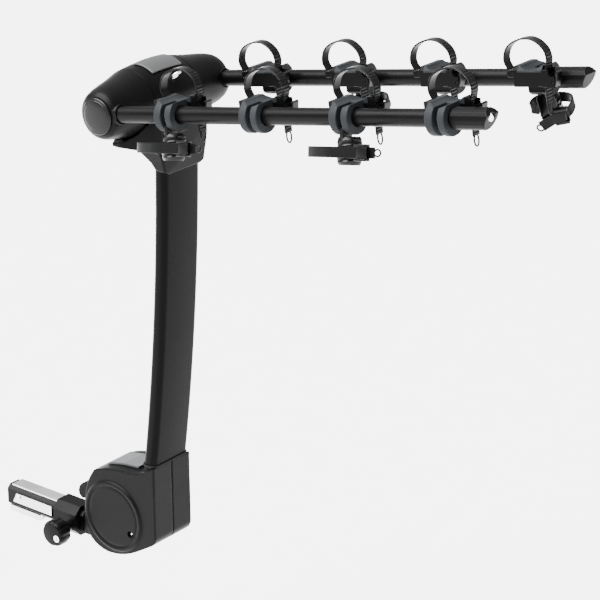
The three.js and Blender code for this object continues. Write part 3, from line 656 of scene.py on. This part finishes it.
def arm(name, mirror):
    place = arms_place(mirror)
    start, end = ARM_ENDS
    tube = sleeve([(start, 0), (start, ARM_RADIUS), (end, ARM_RADIUS), (end, 0)], -ARM_Y)
    piece(f"arm_bar_{name}", tube, "arms", COAT, [f"arm_tube_{name}"], place)
    tip = softened(node_mesh(f"arm_tip_{name}"), 0.8, 5)
    piece(f"arm_end_{name}", tip, "arms", PLASTIC, [f"arm_tip_{name}"])


STRAP_ROUTE = ((-35, 18.2), (-40.5, 32), (-33.5, 50), (-13, 60.6), (9, 60.1), (25.5, 47), (29.5, 33),
    (26, 20), (23.5, 8),
               (23.2, -14), (22.6, -30))


def strap_loop():
    route = [(x, 0, z) for x, z in STRAP_ROUTE]
    band = strap_band(route, (0, 1, 0), 15, 2.4, toothed=lambda t: t > 0.5 or t < 0.22, outside=-1,
        pitch=4.6)
    pull = moved(ring_loop(5, 1.7, 1.25),
        Matrix.Translation((22.3, 0, -36)) @ Matrix.Rotation(math.pi / 2, 4, "Y"))
    return shift(joined(band, pull), 0, STRAP_Y, 0)


def paint_cradle(bm):
    """Rubber on the wrap and the saddle, hard plastic on the buckle block, the lug and the fin."""
    for face in bm.faces:
        x, y, z = face.calc_center_median()
        wrap = y < 15.5 and -20.6 < x < 12.6
        pad = z > 15 and abs(x) < 20 and y > -20
        buckle = (x > 20.5 or x < -26.5) and y > 18
        face.material_index = 0 if (wrap or pad) and not buckle else 1
    return bm


def fittings():
    """Cradle, strap and buckle at every station, and the cages at theirs."""
    cradle = paint_cradle(softened(moved(node_mesh("cradle_left_1"), station_place(1, 1).inverted()),
        1.0, 5))
    lever = softened(moved(node_mesh("buckle_lever_left_1"), station_place(1, 1).inverted()), 0.6, 4)
    strap = strap_loop()
    for name, mirror in SIDES:
        for number in range(1, 5):
            place = station_place(mirror, number)
            label = f"{name}_{number}"
            piece(f"cradle_seat_{label}", cradle.copy(), "arms", RUBBER,
                [f"cradle_{label}"], place, extra=[PLASTIC])
            piece(f"strap_loop_{label}", strap.copy(), "arms", STRAP,
                [f"strap_{label}"], place)
            piece(f"buckle_tab_{label}", lever.copy(), f"buckle_{label}", GLOSSY,
                [f"buckle_lever_{label}"], place)
            if number in CAGE_STATIONS[name]:
                cage(name, mirror, number)


# ---- anti-sway cages ----

CAGE = {"x": -1, "y": 2, "radius": 18, "wall": 2.5, "top": -26, "bottom": -65, "strap": -47.5}
CAGE_STRAPS = {
    "left": {
        "route": ((15.6, 7, 0), (14, 22, 0), (-10, 33, 0), (-52, 33, 0), (-77, 14, 0), (-65, -6, 0),
            (-32, -15.6, 0),
                  (-1, -16.9, 0), (24, -16.2, 0), (40, -15, 0), (54, -14, 0)),
        "link": ((7, -13.2, 0), (20, -13.2, 0), (30, -13.2, 0)),
        "buckle": (35, -15.6, 0, 0), "pull": (58, -13.8, 0)},
    "right": {
        "route": ((15.8, 5, 0), (27, 7, 3), (29, -6, 5), (18, -19, 6), (-1, -21.5, 6), (-18, -20.5,
            6), (-31, -13, 6),
                  (-38, 0, 5), (-38, 13, 2), (-29, 21.4, 0), (-12, 26.5, -7), (2, 28.7, -14)),
        "link": ((-17.4, 4, 0), (-23, 13, 0), (-31, 17.6, 0)),
        "buckle": (-29.5, 21.2, math.pi, 0.4), "pull": (4.6, 28.9, -16)},
}


def cage_shell():
    """The ribbed half round shell, domed at its top and bottom."""
    rows = []
    opening = math.asin(5 / CAGE["radius"])
    start, end = math.pi - opening, 2 * math.pi + opening
    for k in range(41):
        z = CAGE["bottom"] + (CAGE["top"] - CAGE["bottom"]) * k / 40
        edge = min(z - CAGE["bottom"], CAGE["top"] - z)
        dome = 2.6 * max(0, 1 - edge / 5) ** 2
        outer, inner = [], []
        for j in range(49):
            angle = start + (end - start) * j / 48
            phase = (z - 0.22 * CAGE["radius"] * angle * 0.6) / 7.2
            rib = 0.9 * max(0, math.cos(2 * math.pi * phase)) ** 2 * (edge > 3)
            r = CAGE["radius"] - 0.9 - dome + rib
            outer.append((CAGE["x"] + r * math.cos(angle), CAGE["y"] + r * math.sin(angle), z))
            r = CAGE["radius"] - CAGE["wall"] - dome
            inner.append((CAGE["x"] + r * math.cos(angle), CAGE["y"] + r * math.sin(angle), z))
        rows.append(outer + list(reversed(inner)))
    bm = ring_faces(bmesh.new(), rows)
    bmesh.ops.recalc_face_normals(bm, faces=bm.faces)
    return bm


def at_buckle(bm, spot):
    x, y, flip, turn = spot
    place = Matrix.Translation((x, y, CAGE["strap"])) @ Matrix.Rotation(turn, 4,
        "Z") @ Matrix.Rotation(flip, 4, "X")
    return moved(bm, place)


def cage(name, mirror, number):
    place = cage_place(mirror, number)
    label = f"{name}_{number}"
    parts = CAGE_STRAPS[name]
    low, high = SLOT_X - 3.5, SLOT_X + 3.5
    ring = sleeve([(low, 13.1), (low, 15.2), (low + 0.8, 16), (high - 0.8, 16), (high, 15.2), (high, 13.1)])
    plate = box((low, CAGE["y"] - 17.4, -29), (high, 5, -14), 1.0)
    shell = cage_shell()
    lift = Matrix.Translation((0, 0, CAGE["strap"]))
    band = moved(strap_band(parts["route"], (0, 0, 1), 15, 2.4, toothed=lambda t: True, outside=1), lift)
    link = moved(strap_band(parts["link"], (0, 0, 1), 16, 3.2), lift)
    x, y, z = parts["pull"]
    pull = shift(moved(ring_loop(4.5, 1.2, 1.25), Matrix.Rotation(math.pi / 2, 4, "X")), x, y,
        CAGE["strap"] + z)
    frame_parts = [box((-11, 0.8, -8.5), (9, 4, 8.5), 0.6)]
    for z in (-11.5, 8):
        frame_parts.append(box((-11, -7.4, z), (9, 4, z + 3.5), 1.0))
    buckle = at_buckle(joined(*frame_parts), parts["buckle"])
    piece(f"cage_body_{label}", joined(ring, plate, shell, link, buckle), f"cage_{label}",
        GLOSSY,
          [f"sway_cage_{label}"], place)
    piece(f"cage_strap_{label}", joined(band, pull), f"cage_{label}", STRAP, (), place)
    if name == "left":
        rivets = [rod((23, -15.0, CAGE["strap"] + dz), 1.5, 1.4) for dz in (-4.5, 4.5)]
        piece(f"cage_rivets_{label}", joined(*rivets), f"cage_{label}", STEEL, (), place)
    tab = [(-8, -3.2), (3, -3.2), (11, -5.4), (12, -7.9), (1, -7.4), (-7, -6.4)]
    tab = joined(prism(tab, -7.4, 7.4, "z", 0.6), rod((-4, -4.8, 0), 1.8, 19, "z"))
    piece(f"cage_tab_{label}", at_buckle(tab, parts["buckle"]), f"cage_buckle_{label}",
        STRAP,
          [f"cage_lever_{label}"], place)


# ---- build ----

camera()
receiver()
base()
mast()
hub()
for side_name, side_mirror in SIDES:
    hub_end(side_name, side_mirror)
    arm(side_name, side_mirror)
fittings()

floor_mesh = bpy.data.meshes.new("floor")
floor_bm = bmesh.new()
bmesh.ops.create_grid(floor_bm, x_segments=1, y_segments=1, size=30)
floor_bm.to_mesh(floor_mesh)
floor = bpy.data.objects.new("floor", floor_mesh)
floor.location.z = -0.45
bpy.context.collection.objects.link(floor)
floor_mesh.materials.append(finish_material("pale_floor", 0.86, 0.75, vary=0.01, grain=40, depth=0.0002))

world = bpy.data.worlds.new("studio")
world.use_nodes = True
world.node_tree.nodes["Background"].inputs[0].default_value = (1, 1, 1, 1)
world.node_tree.nodes["Background"].inputs[1].default_value = 1.25
bpy.context.scene.world = world
sun = bpy.data.lights.new("soft_sun", "SUN")
sun.energy = 22
sun.angle = math.radians(60)
sun_object = bpy.data.objects.new("soft_sun", sun)
sun_object.rotation_euler = Vector((0.35, 0.45, -1)).to_track_quat("-Z", "Y").to_euler()
bpy.context.collection.objects.link(sun_object)
area_light("key", (0.2, -2.2, 3.2), (0.4, 0, 0.5), (1.6, 1.6), 40)
